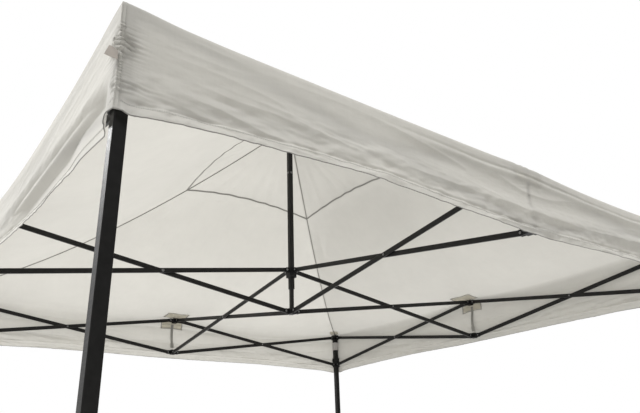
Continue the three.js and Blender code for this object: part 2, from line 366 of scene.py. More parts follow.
class Shell:
    """Collects pieces of geometry, each with its own material, into one object."""

    def __init__(self):
        self.points, self.faces, self.slots, self.materials = [], [], [], []

    def add(self, points, faces, material, matrix=None):
        points = np.asarray(points, float)
        if matrix is not None:
            m = np.array(matrix)
            points = points @ m[:3, :3].T + m[:3, 3]
        if material not in self.materials:
            self.materials.append(material)
        slot = self.materials.index(material)
        start = sum(len(p) for p in self.points)
        self.points.append(points)
        self.faces += [[start + i for i in face] for face in faces]
        self.slots += [slot] * len(faces)

    def build(self, name, body, slot, side=None, replaces=()):
        mesh = bpy.data.meshes.new(name)
        mesh.from_pydata(np.concatenate(self.points).tolist(), [], self.faces)
        for material in self.materials:
            mesh.materials.append(material)
        mesh.polygons.foreach_set("material_index", self.slots)
        mesh.update()
        obj = in_scene(name, mesh)
        outward(obj)
        shade(obj, 35.0)
        box_uv(obj)
        return place(obj, body, slot, side, replaces)


def outward(obj):
    mesh = bmesh.new()
    mesh.from_mesh(obj.data)
    bmesh.ops.recalc_face_normals(mesh, faces=mesh.faces[:])
    mesh.to_mesh(obj.data)
    mesh.free()


def shade(obj, angle):
    """Smooth shading, broken at edges sharper than an angle in degrees."""
    obj.data.polygons.foreach_set("use_smooth", [True] * len(obj.data.polygons))
    obj.data.set_sharp_from_angle(angle=math.radians(angle))


def box_uv(obj):
    """Cloth coordinates in metres, for the weave, from the two axes that each face lies along."""
    mesh = obj.data
    layer = mesh.uv_layers.new(name="cloth")
    co = np.empty(len(mesh.vertices) * 3)
    mesh.vertices.foreach_get("co", co)
    co = co.reshape(-1, 3)
    normal = np.empty(len(mesh.polygons) * 3)
    mesh.polygons.foreach_get("normal", normal)
    main = np.abs(normal.reshape(-1, 3)).argmax(1)
    corner_vertex = np.empty(len(mesh.loops), int)
    mesh.loops.foreach_get("vertex_index", corner_vertex)
    counts = np.array([p.loop_total for p in mesh.polygons])
    axis = np.repeat(main, counts)
    first = np.where(axis == 0, 1, 0)
    second = np.where(axis == 2, 1, 2)
    uv = np.stack([co[corner_vertex, first], co[corner_vertex, second]], 1)
    layer.data.foreach_set("uv", uv.ravel())


def place(obj, body, slot, side=None, replaces=()):
    """Tells the frame where a piece goes. A piece of a side's cloth gets its own copy of its mesh."""
    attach(obj, body)
    if replaces:
        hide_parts(*replaces)
    if side:
        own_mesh(obj)
    return obj


def loft(rings):
    """Faces between rings of points, each ring closed, with a cap on each end."""
    count = len(rings[0])
    faces = []
    for k in range(len(rings) - 1):
        for i in range(count):
            j = (i + 1) % count
            faces.append([k * count + i, k * count + j, (k + 1) * count + j, (k + 1) * count + i])
    faces.append(list(range(count))[::-1])
    faces.append([(len(rings) - 1) * count + i for i in range(count)])
    return np.concatenate([np.asarray(r, float) for r in rings]), faces


def rounded_rectangle(half_y, half_z, radius, steps=4):
    """Outline of a rounded rectangle, as (y, z) pairs."""
    outline = []
    for quarter in range(4):
        cy = (half_y - radius) * (1 if quarter in (0, 3) else -1)
        cz = (half_z - radius) * (1 if quarter in (0, 1) else -1)
        for step in range(steps + 1):
            angle = math.pi / 2 * (quarter + step / steps)
            outline.append((cy + radius * math.cos(angle), cz + radius * math.sin(angle)))
    return outline


def square_tube(start, end, half_y, half_z, radius, wall, recess):
    """A rounded rectangular tube along X, open at both ends as deep as recess."""
    easing = min(0.0004, wall / 3)
    sections = [
        (start + recess, -wall), (start, -wall), (start, -easing), (start + easing, 0.0),
        (end - easing, 0.0), (end, -easing), (end, -wall), (end - recess, -wall),
    ]
    rings = []
    for x, grow in sections:
        outline = rounded_rectangle(half_y + grow, half_z + grow, max(radius + grow, 0.0004))
        rings.append([(x, y, z) for y, z in outline])
    return loft(rings)


def lathe(profile, sides):
    """Turns (radius, height) pairs about Z."""
    angles = [2 * math.pi * i / sides for i in range(sides)]
    return loft([[(r * math.cos(a), r * math.sin(a), height) for a in angles] for r, height in profile])


def along(direction, at):
    """A matrix whose Z axis points along a direction, at a point."""
    rotation = Vector(direction).to_track_quat("Z", "Y").to_matrix().to_4x4()
    return Matrix.Translation(Vector(at)) @ rotation


# ---------------- Frame: bars, legs, hubs and rivets

BAR = {"height": 0.022, "thickness": 0.010, "wall": 0.0012, "tail": 0.009, "radius": 0.0024}
FORK_OUTSIDE = 0.0084  # from a fork's middle to the outside of its cheek
PAIR_OUTSIDE = STAGGER + BAR["thickness"] / 2
RIVET = [(0.0001, 0.0), (0.0068, 0.0), (0.0068, 0.0005), (0.0060, 0.0009), (0.0047, 0.0010),
         (0.0046, 0.0016), (0.0037, 0.0025), (0.0020, 0.0031), (0.0001, 0.0033)]
DIMPLE = [(0.0001, 0.0012), (0.0015, 0.0014), (0.0022, 0.0022), (0.0033, 0.0024), (0.0048, 0.0015),
          (0.0052, 0.0), (0.0001, -0.0001)]


def bar(name, node, start, end, across):
    """A flat tube between two pivots in the gazebo's frame, with its thickness along `across`."""
    start, end, across = Vector(start), Vector(end), Vector(across)
    direction = (end - start).normalized()
    upright = direction.cross(across).normalized()
    turned_axes = Matrix((direction, across, upright)).transposed().to_4x4()
    matrix = Matrix.Translation(start) @ turned_axes
    shell = Shell()
    points, faces = square_tube(
        -BAR["tail"], (end - start).length + BAR["tail"], BAR["thickness"] / 2, BAR["height"] / 2,
        BAR["radius"], BAR["wall"], 0.022,
    )
    shell.add(points, faces, PAINT, matrix)
    shell.build(name, frame["nodes"][node]["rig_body"], "frame_paint", replaces=[node])


def add_rivet(shells, body, at, axis, outside):
    shell = shells.setdefault(body, Shell())
    axis = Vector(axis).normalized()
    for sign in (1, -1):
        profile = RIVET if sign > 0 else DIMPLE
        shell.add(*lathe(profile, 20), STEEL, along(axis * sign, Vector(at) + axis * sign * outside))


def bars_and_rivets():
    shells = {}
    far = LEG_REACH - HUB_REACH
    for side, (_, start_corner, end_corner) in SIDES.items():
        m = turn(side)
        spot = lambda x, y, z: m @ Vector((x, y, z))
        radial, tangent = m.to_3x3() @ Vector((1, 0, 0)), m.to_3x3() @ Vector((0, 1, 0))
        middle = (UPPER + LOWER) / 2
        bar(f"roof_bar_{side}_upper", f"roof_arm_{side}_upper",
            spot(HUB_REACH, STAGGER, UPPER), spot(far, STAGGER, LOWER), tangent)
        bar(f"roof_bar_{side}_lower", f"roof_arm_{side}_lower",
            spot(HUB_REACH, -STAGGER, LOWER), spot(far, -STAGGER, UPPER), tangent)
        add_rivet(shells, f"roof_arm_{side}_upper", spot(LEG_REACH / 2, 0, middle), tangent, PAIR_OUTSIDE)
        add_rivet(shells, "centre", spot(HUB_REACH, STAGGER, UPPER), tangent, FORK_OUTSIDE)
        add_rivet(shells, "lower_hub_centre", spot(HUB_REACH, -STAGGER, LOWER), tangent, FORK_OUTSIDE)
        add_rivet(shells, f"upper_hub_{side}", spot(far, -STAGGER, UPPER), tangent, FORK_OUTSIDE)
        add_rivet(shells, f"lower_hub_{side}", spot(far, STAGGER, LOWER), tangent, FORK_OUTSIDE)
        for corner, sign in ((start_corner, -1), (end_corner, 1)):
            outer, inner = LEG_REACH + STAGGER, LEG_REACH - STAGGER
            bar(f"truss_bar_{side}_{corner}_outer", f"truss_{side}_{corner}_outer",
                spot(outer, sign * HUB_REACH, LOWER), spot(outer, sign * far, UPPER), radial)
            bar(f"truss_bar_{side}_{corner}_inner", f"truss_{side}_{corner}_inner",
                spot(inner, sign * HUB_REACH, UPPER), spot(inner, sign * far, LOWER), radial)
            add_rivet(shells, f"truss_{side}_{corner}_outer",
                      spot(LEG_REACH, sign * LEG_REACH / 2, middle), radial, PAIR_OUTSIDE)
            add_rivet(shells, f"lower_hub_{side}", spot(outer, sign * HUB_REACH, LOWER), radial, FORK_OUTSIDE)
            add_rivet(shells, f"upper_hub_{side}", spot(inner, sign * HUB_REACH, UPPER), radial, FORK_OUTSIDE)
            add_rivet(shells, f"outer_leg_{corner}", spot(outer, sign * far, UPPER), radial, FORK_OUTSIDE)
            add_rivet(shells, f"slider_{corner}", spot(inner, sign * far, LOWER), radial, FORK_OUTSIDE)
    for body, shell in shells.items():
        shell.build(f"rivets_{body}", body, "rivet_steel")


LONG_EDGE = 0.25  # metres: the edges of a tube, which are rounder than those of a moulding


def soften(node, material, slot, width, long_width=None):
    """Stands in for a CAD node: the same faces, with rounded edges."""
    source = frame["nodes"][node]
    mesh = bmesh.new()
    mesh.from_mesh(source.data)
    bmesh.ops.remove_doubles(mesh, verts=mesh.verts[:], dist=0.00002)
    bmesh.ops.dissolve_limit(mesh, angle_limit=math.radians(1.0), verts=mesh.verts[:], edges=mesh.edges[:])
    weights = mesh.edges.layers.float.new("bevel_weight_edge")
    widest = long_width or width
    for edge in mesh.edges:
        if len(edge.link_faces) == 2 and edge.calc_face_angle() > math.radians(24.0):
            edge[weights] = 1.0 if edge.calc_length() > LONG_EDGE else width / widest
    data = bpy.data.meshes.new(node + "_soft")
    mesh.to_mesh(data)
    mesh.free()
    data.materials.clear()
    data.materials.append(material)
    obj = in_scene(node + "_soft", data)
    bevel = obj.modifiers.new("edges", "BEVEL")
    bevel.limit_method = "WEIGHT"
    bevel.width = widest
    bevel.segments = 3
    shade(obj, 30.0)
    return place(obj, source["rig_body"], slot, replaces=[node])


def hubs_and_legs():
    for side, (_, _, corner) in SIDES.items():
        for hub in (f"upper_hub_{side}", f"lower_hub_{side}"):
            soften(hub, PLASTIC, "black_plastic", 0.0012)
        soften(f"outer_leg_{corner}", PAINT, "frame_paint", 0.0010, 0.0028)
        soften(f"inner_leg_{corner}", PAINT, "frame_paint", 0.0010, 0.0025)
        soften(f"slider_{corner}", PLASTIC, "black_plastic", 0.0011)
    soften("upper_hub_centre", PLASTIC, "black_plastic", 0.0012)
    soften("lower_hub_centre", PLASTIC, "black_plastic", 0.0012)
    soften("mast_tube", PAINT, "frame_paint", 0.0010, 0.0025)
    soften("mast_rod", PAINT, "frame_paint", 0.0008, 0.0015)
    for button in [n for n in frame["nodes"] if "button" in n]:
        button_face(button)


BUTTON_LENGTH = 0.0095
BUTTON_FACE = [(0.0001, 0.0), (0.0055, 0.0), (0.0055, 0.0082), (0.0049, 0.0092), (0.0038, 0.0095),
               (0.0034, 0.0091), (0.0012, 0.0089), (0.0001, 0.0089)]


def button_face(node):
    """A push button: a short pin with a rounded rim and a shallow dish."""
    low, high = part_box(node)
    centre, size = (low + high) / 2, high - low
    axis = min(range(2), key=lambda k: abs(size[k] - BUTTON_LENGTH))
    away = -1.0 if centre[axis] > 0 else 1.0  # a button looks to the middle of the gazebo
    direction = Vector((0, 0, 0))
    direction[axis] = away
    base = centre - direction * size[axis] / 2
    shell = Shell()
    shell.add(*lathe(BUTTON_FACE, 32), BUTTON, along(direction, base))
    shell.build(node + "_face", frame["nodes"][node]["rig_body"], "button_plastic", replaces=[node])


FIRST_HOLE, HOLE_PITCH, HOLES = 0.13, 0.045, 5  # height of the lowest, in metres
SNAP_BUTTON_Z = UPPER + 0.58
TUBE_HALF = 0.0125  # of the inner legs and of the mast
EYELET = [(0.0001, 0.00005), (0.0040, 0.00005), (0.0043, 0.0006), (0.0050, 0.0007), (0.0056, 0.0003),
          (0.0057, 0.0)]


def small_fittings():
    """Snap holes up the inner legs, and the mast's snap buttons."""
    for side, (_, _, corner) in SIDES.items():
        m = turn(side)
        leg = Vector((LEG_REACH, LEG_REACH, FIRST_HOLE))
        shell = Shell()
        for k in range(HOLES):
            for face in (Vector((-1, 0, 0)), Vector((0, -1, 0))):
                at = m @ (leg + face * TUBE_HALF + Vector((0, 0, k * HOLE_PITCH)))
                shell.add(*lathe(EYELET, 20), PLASTIC, along(m.to_3x3() @ face, at))
        shell.build(f"snap_holes_{corner}", f"inner_leg_{corner}", "frame_paint")
    shell = Shell()
    for x, y in ((-1, 0), (0, -1), (1, 0), (0, 1)):
        shell.add(*lathe(RIVET, 20), STEEL, along((x, y, 0), (x * TUBE_HALF, y * TUBE_HALF, SNAP_BUTTON_Z)))
    shell.build("mast_snap_buttons", "mast", "rivet_steel")


# ---------------- Canopy

SWEEP = 1.56  # how much the roof's slope eases towards the eave
CORNER_RADIUS = 0.009  # of the rounded edge where the roof turns down into the valance, at a corner
HEM = 0.030  # depth of the hem band
PULL = 0.006  # the hem's corners are drawn in to the legs
# How far an eave hangs between its supports, in the half where its side starts and in the half where it ends
HANG = {"front": (0.002, 0.014), "right": (0.020, 0.020), "back": (0.020, 0.020), "left": (0.028, 0.032)}
ROUND = {"front": 0.003, "right": 0.025, "back": 0.025, "left": 0.024}  # extra radius between supports
RISE = {"front": 0.017, "right": 0.006, "back": 0.006, "left": 0.012}  # of a hem between its supports
LOW = {"front_left": 0.002, "front_right": 0.006, "back_right": 0.024, "back_left": 0.012}  # of a hem's end
CURL = {"front": 0.004, "right": 0.008, "back": 0.007, "left": 0.034}  # how far a hem turns in


def roof_height(reach):
    share = np.clip(1.0 - reach / EAVE_REACH, 0.0, 1.0)
    return EAVE_Z + (PEAK_Z - EAVE_Z) * share**SWEEP


def unsupported(t):
    """From 0 at the corners and at the middle hub to 1 between them."""
    near = EAVE_REACH - np.abs(t)
    return smooth(near / 0.45) * (1.0 - bell(t, 0.0, 0.15))


def eave_dip(side, t):
    near = EAVE_REACH - np.abs(t)
    slack = smooth((near - 0.08) / 0.80) * (1.0 - bell(t, 0.0, 0.28))
    return 0.008 * smooth(near / 0.16) + np.where(t < 0, *HANG[side]) * slack


def edge_radius(side, t):
    near = EAVE_REACH - np.abs(t)
    return CORNER_RADIUS + 0.011 * smooth(near / 0.30) + ROUND[side] * unsupported(t)


def rim(side, u):
    """Reach at which the roof ends and its rounded edge begins."""
    return EAVE_REACH - edge_radius(side, u * EAVE_REACH)


def ring_reach(u):
    """Reach of the seam that joins the roof's cap to its lower part."""
    return 0.437 - 0.008 * u * u


def roof_points(side, reach, u):
    """Points of a roof panel. u runs from one hip, at -1, to the other, at 1."""
    reach, u = np.broadcast_arrays(reach, u)
    seed = SEEDS[side]
    t = u * reach
    share = reach / EAVE_REACH
    inside = 1.0 - u * u
    z = roof_height(reach) - eave_dip(side, u * EAVE_REACH) * smooth((share - 0.55) / 0.43)
    z = z - 0.022 * inside * np.sin(np.pi * share) ** 1.3 * smooth((share - 0.3) / 0.3)
    z = z + 0.050 * inside * bell(share, 0.29, 0.17) * smooth(share / 0.12)
    z = z + 0.006 * inside * np.sin(np.pi * share) * noise(t / 0.5, reach / 0.45, seed)
    # the ring seam is cut a little tight, and gathers the cap into shallow radial pleats
    ring = ring_reach(u)
    z = z - 0.004 * inside * bell(reach, ring, 0.03)
    pleat = np.sin(u * 23.0 + 2.5 * noise(u * 3.0, reach / 0.3, seed + 3))
    z = z + 0.0026 * inside * pleat * bell(reach, 0.85 * ring, 0.14)
    # soft folds run down from the ring beside each hip
    beside = bell(np.abs(u), 0.86, 0.09) * smooth((reach - ring) / 0.2)
    z = z + 0.0050 * beside * noise(reach / 0.15 + 2.0 * u, u * 9.0, seed + 5) * smooth((1.2 - reach) / 0.3)
    # and short ones spread from the middle hub, which carries the eave
    hub = np.exp(-np.hypot(t, EAVE_REACH - reach) / 0.16) * smooth((EAVE_REACH - reach) / 0.03)
    fan = np.arctan2(t, EAVE_REACH - reach + 0.02)
    z = z + 0.0028 * hub * np.sin(9.0 * fan + seed)
    return np.stack([reach, t, z], -1)


def numbered(points):
    """The numbers of a grid's points, and the faces between its rows and columns."""
    index = np.arange(points[..., 0].size).reshape(points.shape[:2])
    quads = np.stack([index[:-1, :-1], index[1:, :-1], index[1:, 1:], index[:-1, 1:]], -1)
    return index, quads.reshape(-1, 4)


def panel_object(name, points, uv):
    _, faces = numbered(points)
    mesh = bpy.data.meshes.new(name)
    mesh.from_pydata(points.reshape(-1, 3).tolist(), [], faces.tolist())
    layer = mesh.uv_layers.new(name="cloth")
    layer.data.foreach_set("uv", uv.reshape(-1, 2)[faces.ravel()].ravel())
    mesh.materials.append(CANOPY)
    mesh.polygons.foreach_set("use_smooth", [True] * len(mesh.polygons))
    mesh.update()
    return in_scene(name, mesh)


def run_length(points):
    """Distance walked along a line of points, or down each column of a grid of them."""
    steps = np.linalg.norm(np.diff(points, axis=0), axis=-1)
    return np.concatenate([np.zeros_like(steps[:1]), np.cumsum(steps, 0)])


def roof_panel(side):
    rows, columns = 170, 201
    share = np.linspace(0.0, 1.0, rows)[:, None]
    even = np.linspace(-1, 1, columns)[None, :]
    u = 0.45 * np.sin(even * math.pi / 2) + 0.55 * even
    reach = 0.002 + (rim(side, u) - 0.002) * share
    points = roof_points(side, reach, u)
    uv = np.stack([u * reach, run_length(points)], -1)
    return panel_object(f"roof_{side}", turned(side, points), uv)


def corner_gathers(seed, near, drop):
    """Puckers down a corner seam: a knot near the top, fine ones below it, and a deep set at the hem."""
    knot = bell(drop, 0.114, 0.025)
    low = smooth((drop - 0.190) / 0.015) * smooth((0.236 - drop) / 0.012)
    between = smooth((drop - 0.05) / 0.02) * smooth((0.236 - drop) / 0.01)
    ripple = np.sin(2 * np.pi * drop / 0.0125 + 2.6 * noise(near / 0.03, drop / 0.04, seed + 6))
    fine = np.sin(2 * np.pi * drop / 0.0078 + 2.2 * noise(near / 0.03, drop / 0.03, seed + 9))
    away = near + 0.0001
    total = 0.0072 * knot * ripple * bell(away, 0.0, 0.040)
    total = total + 0.0022 * between * fine * np.exp(-away / 0.022)
    total = total + 0.0034 * low * ripple * np.exp(-away / 0.055)
    total = total + 0.0038 * knot * bell(away, 0.014, 0.026)
    return total * smooth(near / 0.003)


def tension_folds(seed, near, drop, fall):
    """Long folds that start at the low end of a corner seam and run down to the hem."""
    drift = drop - 0.19 * near * np.exp(-near / 1.6)
    reach = smooth((near - 0.06) / 0.30) * bell(near, 0.0, 0.95) * smooth((fall - 0.34) / 0.36)
    long = 0.0115 * (ridges(near / 0.34, drift / 0.040, seed + 2, 1.1) - 0.5)
    fine = 0.0042 * noise(near / 0.15, drift / 0.016, seed + 12)
    return (long + fine) * reach * (0.55 + 0.45 * np.exp(-near / 0.3))


def packing_creases(side, t, drop, depth):
    """Two creases along the valance, from the way it was folded in its bag."""
    seed = SEEDS[side]
    where = smooth((t + 0.78) / 0.4) if side == "front" else 0.5 + 0.5 * noise(t / 0.8, 0.0, seed + 13)
    high = 0.046 + 0.006 * noise(t / 0.22, 0.0, seed + 14)
    low = 0.66 * depth + 0.014 * noise(t / 0.38, 4.0, seed + 15)
    groove = -0.0034 * bell(drop, high, 0.0060)
    shoulder = 0.0042 * bell(drop - high, 0.015, 0.010)
    ridge = 0.0085 * np.exp(-np.abs(drop - low) / 0.012) - 0.0050 * bell(drop - low, 0.026, 0.014)
    hollow = -0.0100 * np.sin(np.pi * np.clip((drop - high) / (low - high), 0, 1)) ** 2
    varied = 0.65 + 0.35 * noise(t / 0.3, 9.0, seed + 16)
    return where * (groove + shoulder + varied * ridge + hollow)


def valance_bulge(side, t, drop, depth):
    """How far a valance stands out, at t along the side and drop below the eave."""
    seed = SEEDS[side]
    near = np.clip(EAVE_REACH - np.abs(t), 0, None)
    fall = drop / depth
    calm = 0.3 if side == "left" else 1.0
    wave = 0.010 * smooth(near / 0.30) * fall * noise(t / 0.60, 0.7 * fall, seed)
    broad = ridges(t / 0.55, (drop - 0.05 * near) / 0.070, seed + 1, 1.3) - 0.45
    broad = 0.0100 * calm * smooth(near / 0.25) * (0.3 + 0.7 * fall) * broad
    slant = noise((t - 1.2 * drop) / 0.060, (drop + 0.25 * t) / 0.022, seed + 4)
    slant = 0.0044 * calm * smooth((fall - 0.45) / 0.25) * smooth(near / 0.12) * slant
    crumple = 0.0006 * smooth(near / 0.05) * noise((t + 1.6 * drop) / 0.035, drop / 0.012, seed + 17)
    folds = calm * (tension_folds(seed, near, drop, fall) + packing_creases(side, t, drop, depth))
    # the band of the hem is two layers thick and puckers along its stitches
    in_hem = smooth((drop - (depth - HEM)) / 0.0020)
    pucker = noise((t + 0.7 * drop) / 0.017, drop / 0.030, seed + 8) * smooth(near / 0.02)
    band = in_hem * (0.0015 + 0.0018 * pucker + 0.0075 * (drop - depth + HEM) / HEM)
    sewn = bell(drop - (depth - HEM), -0.004, 0.0050) * (0.0035 + 0.0015 * pucker)
    curl = CURL[side] * smooth((fall - 0.55) / 0.28) * smooth((near - 0.015) / 0.09)
    curl = curl * smooth((1.30 - near) / 0.6) * np.where(t > 0, 1.0, 0.35)
    flat_top = smooth((drop - 0.008) / 0.03)
    out = (wave + broad + slant + crumple + folds) * flat_top + band - sewn - curl
    return out * smooth(near / 0.02) + corner_gathers(seed, near, drop)


def hem_level(side, t):
    """Height of a hem. It is lowest at the corners, and not equally low at each."""
    _, start, end = SIDES[side]
    share = 0.5 + 0.5 * t / EAVE_REACH
    rise = RISE[side] * np.sin(np.pi * np.clip(np.abs(t) / EAVE_REACH, 0, 1)) ** 2
    near = EAVE_REACH - np.abs(t)
    amount, width = (0.021, 0.21) if side == "left" else (0.012, 0.10)
    covering = amount * smooth(near / 0.04) * bell(near, 0.0, width)  # of the sliders' forks
    return HEM_Z + rise - LOW[start] * (1 - share) ** 2 - LOW[end] * share**2 - covering


def room_inside(t, fall):
    """How far in a valance may lie before it meets the bars, the sliders or their rivets."""
    near = EAVE_REACH - np.abs(t)
    by_bars = 0.0125 + 0.0215 * smooth((fall - 0.60) / 0.18)
    by_slider = PULL - 0.0002 + 0.0152 * smooth((near - 0.046) / 0.045)
    by_fork = 0.004 * smooth((near - 0.085) / 0.02) + 0.010 * smooth((near - 0.25) / 0.2)
    return np.minimum(by_bars, by_slider + by_fork)


def valance_points(side, t, fall):
    """Points of a valance, from the end of its rounded edge, at fall 0, to the hem, at fall 1."""
    t, fall = np.broadcast_arrays(t, fall)
    top = EAVE_Z - eave_dip(side, t)
    depth = top - hem_level(side, t)
    radius = edge_radius(side, t)
    drop = radius + fall * (depth - radius)
    drawn = PULL * smooth(fall / 0.9) * np.exp(-np.clip(EAVE_REACH - np.abs(t), 0, None) / 0.12)
    x = EAVE_REACH + valance_bulge(side, t, drop, depth) - drawn
    x = np.maximum(x, EAVE_REACH - room_inside(t, fall))
    return np.stack([x, t * (1 - drawn / EAVE_REACH), top - drop], -1)


def along_side():
    """Values from -1 to 1 that lie closer together at both ends."""
    share, length = 0.26, 0.15  # of the values and of the range that belong to the two ends
    q = np.linspace(-1, 1, 701)
    inner = q * (1 - length) / (1 - share)
    outer = np.sign(q) * (1 - length * (1 - np.abs(q)) / share)
    return np.where(np.abs(q) < 1 - share, inner, outer)


def valance(side):
    u = along_side()
    radius = edge_radius(side, u * EAVE_REACH)
    top = EAVE_Z - eave_dip(side, u * EAVE_REACH)
    above = roof_points(side, rim(side, u), u)[:, 2] - top
    grid = []
    for angle in np.linspace(0.0, 0.5 * math.pi, 9)[:-1]:
        x = EAVE_REACH - radius * (1 - math.sin(angle))
        z = top + above * math.cos(angle) - radius * (1 - math.cos(angle))
        grid.append(np.stack([x, u * x, z], -1))
    for fall in np.linspace(0.0, 1.0, 98):
        grid.append(valance_points(side, u * EAVE_REACH, fall))
    points = np.stack(grid)
    uv = np.stack([np.broadcast_to(u * EAVE_REACH, points.shape[:2]), run_length(points)], -1)
    return panel_object(f"valance_{side}", turned(side, points), uv)


def normals_of(points):
    normal = np.cross(np.gradient(points, axis=0), np.gradient(points, axis=1))
    return normal / (np.linalg.norm(normal, axis=-1, keepdims=True) + 1e-12)


def slab(points, inner, outer):
    """A thin closed slab that follows a grid of surface points, from inner to outer along its normals."""
    normal = normals_of(points)
    index, quads = numbered(points)
    faces = quads[:, ::-1].tolist() + (quads + index.size).tolist()
    ring = np.concatenate([index[0, :-1], index[:-1, -1], index[-1, :0:-1], index[:0:-1, 0]])
    after = np.roll(ring, -1)
    faces += np.stack([ring, after, after + index.size, ring + index.size], -1).tolist()
    return np.concatenate([(points + normal * lift).reshape(-1, 3) for lift in (inner, outer)]), faces


STITCH = np.array([(-1, -1, 0), (1, -1, 0), (1, 1, 0), (-1, 1, 0),
                   (-0.7, -0.7, 1), (0.7, -0.7, 1), (0.7, 0.7, 1), (-0.7, 0.7, 1)])
STITCH_FACES = [(3, 2, 1, 0), (4, 5, 6, 7), (0, 1, 5, 4), (1, 2, 6, 5), (2, 3, 7, 6), (3, 0, 4, 7)]
STITCH_SIZE = (0.00125, 0.00032, 0.00055)  # half length, half width and height
STITCH_PITCH = 0.0038


def sampled(marks, walked, values):
    return np.stack([np.interp(marks, walked, column) for column in values.T], 1)


def stitch_row(shell, points, normals):
    """Stitches along a line of points, at an even pitch."""
    walked = run_length(points)
    marks = np.arange(STITCH_PITCH, walked[-1] - STITCH_PITCH / 2, STITCH_PITCH)
    at = sampled(marks, walked, points)
    up = sampled(marks, walked, normals)
    ahead = sampled(marks + 0.0005, walked, points) - at
    ahead /= np.linalg.norm(ahead, axis=1, keepdims=True) + 1e-12
    across = np.cross(up, ahead)
    local = STITCH * STITCH_SIZE
    every = (at[:, None, :] + local[None, :, :1] * ahead[:, None] + local[None, :, 1:2] * across[:, None]
             + local[None, :, 2:] * up[:, None])
    faces = [[8 * k + i for i in face] for k in range(len(marks)) for face in STITCH_FACES]
    shell.add(every.reshape(-1, 3), faces, THREAD)


def seam_line(shell, side, grid, lift=0.0004, out=1):
    """Stitches along the middle one of three rows of surface points, on the outside."""
    normal = out * normals_of(grid)[1]
    stitch_row(shell, turned(side, grid[1] + normal * lift), turned(side, normal))


def roof_seams(side):
    """Tapes under the ring seam and along both hips, dark with painted shade, and the stitching on top of
    them.
    """
    tape, sewn = Shell(), Shell()
    u = np.linspace(-1, 1, 121)[None, :]
    rows = np.array([-0.0036, 0.0, 0.0036])[:, None]
    grid = roof_points(side, ring_reach(u) + rows, u)
    tape.add(*slab(turned(side, grid), -0.0026, -0.0005), TAPE_PAINTED_SHADE)
    for edge in (-1, 1):
        reach = np.linspace(0.03, EAVE_REACH - CORNER_RADIUS, 240)[None, :]
        inward = np.array([0.0002, 0.0024, 0.0048])[:, None]
        grid = roof_points(side, reach, edge * (1.0 - inward / reach))
        tape.add(*slab(turned(side, grid), -0.0030, -0.0005), TAPE_PAINTED_SHADE)
        line = edge * (1.0 - np.array([0.0065, 0.0085, 0.0105])[:, None] / reach)
        seam_line(sewn, side, roof_points(side, reach, line)[::edge])
    for offset in (-0.004, 0.004):
        rows = np.array([-0.001, 0.0, 0.001])[:, None] + offset
        seam_line(sewn, side, roof_points(side, ring_reach(u) + rows, u))
    return [
        tape.build(f"seam_tapes_{side}", f"canopy_{side}", "canopy_fabric", side),
        sewn.build(f"roof_stitching_{side}", f"canopy_{side}", "canopy_fabric", side),
    ]


def valance_seams(side):
    """The hem's rolled edge, dark with painted shade, and stitching, and the lapped seam at the side's first
    corner.
    """
    sewn, edge = Shell(), Shell()
    depth = EAVE_Z - HEM_Z
    t = along_side()[None, :] * (EAVE_REACH - 0.0008)
    bottom = 1.0 - np.array([0.0020, 0.0010, 0.0001])[:, None] / depth
    grid = valance_points(side, t, bottom)
    edge.add(*slab(turned(side, grid), -0.0013, 0.0009), HEM_EDGE_PAINTED_SHADE)
    for above in (HEM - 0.0015, HEM - 0.0045):
        line = 1.0 - np.array([above + 0.001, above, above - 0.001])[:, None] / depth
        seam_line(sewn, side, valance_points(side, t, line), 0.0006)
    start = -EAVE_REACH
    across = start + np.linspace(0.0008, 0.0125, 6)[None, :]
    down = np.linspace(0.01, 0.985, 120)[:, None]
    lap = valance_points(side, across, down)
    edge.add(*slab(turned(side, lap), 0.0002, 0.0010), CANOPY)
    for inset in (0.0028, 0.0105):
        columns = start + np.array([inset - 0.001, inset, inset + 0.001])[None, :]
        seam_line(sewn, side, np.swapaxes(valance_points(side, columns, down), 0, 1), 0.0011, -1)
    return [
        edge.build(f"painted_shade_hem_edge_{side}", f"upper_hub_{side}", "canopy_fabric", side),
        sewn.build(f"valance_stitching_{side}", f"upper_hub_{side}", "canopy_fabric", side),
    ]


def canopy():
    for side in SIDES:
        roof = roof_panel(side)
        place(roof, f"canopy_{side}", "canopy_fabric", side, [f"canopy_{side}"])
        hanging = valance(side)
        place(hanging, f"upper_hub_{side}", "canopy_fabric", side, [f"canopy_{side}"])
        strips, feet = corner_strips(side)
        roof_seams(side) + [feet]
        valance_seams(side) + [strips]


# ---------------- Patches, straps and tabs


def patch_frame(shell, side, grid, inner, outer):
    """A sewn patch, lightened with painted light, with a darker folded border."""
    shell.add(*slab(turned(side, grid), inner, outer), PATCH_PAINTED_LIGHT)
    step = 3
    for rows, columns in (
        (slice(0, step), slice(None)), (slice(-step, None), slice(None)),
        (slice(None), slice(0, step)), (slice(None), slice(-step, None)),
    ):
        shell.add(*slab(turned(side, grid[rows, columns]), inner - 0.0007, inner), BORDER)


def middle_patch(side):
    """The patch folded over the eave at a middle hub, and the strap that hangs from it."""
    shell = Shell()
    half = 0.080
    back = np.linspace(0.092, 0.001, 34)[:, None]
    t = 0.008 + np.linspace(-half, half, 52)[None, :]
    reach = rim(side, t / EAVE_REACH) - back
    upper = roof_points(side, reach, t / reach)
    patch_frame(shell, side, upper, -0.0017, -0.0007)
    fall = np.linspace(0.0, 0.21, 24)[:, None]
    lower = valance_points(side, t, fall)
    patch_frame(shell, side, lower, -0.0019, -0.0008)
    shell.add(*hanging_strap(side, 0.017, 0.165), WEBBING)
    shell.build(f"middle_patch_{side}", f"upper_hub_{side}", "webbing", side)


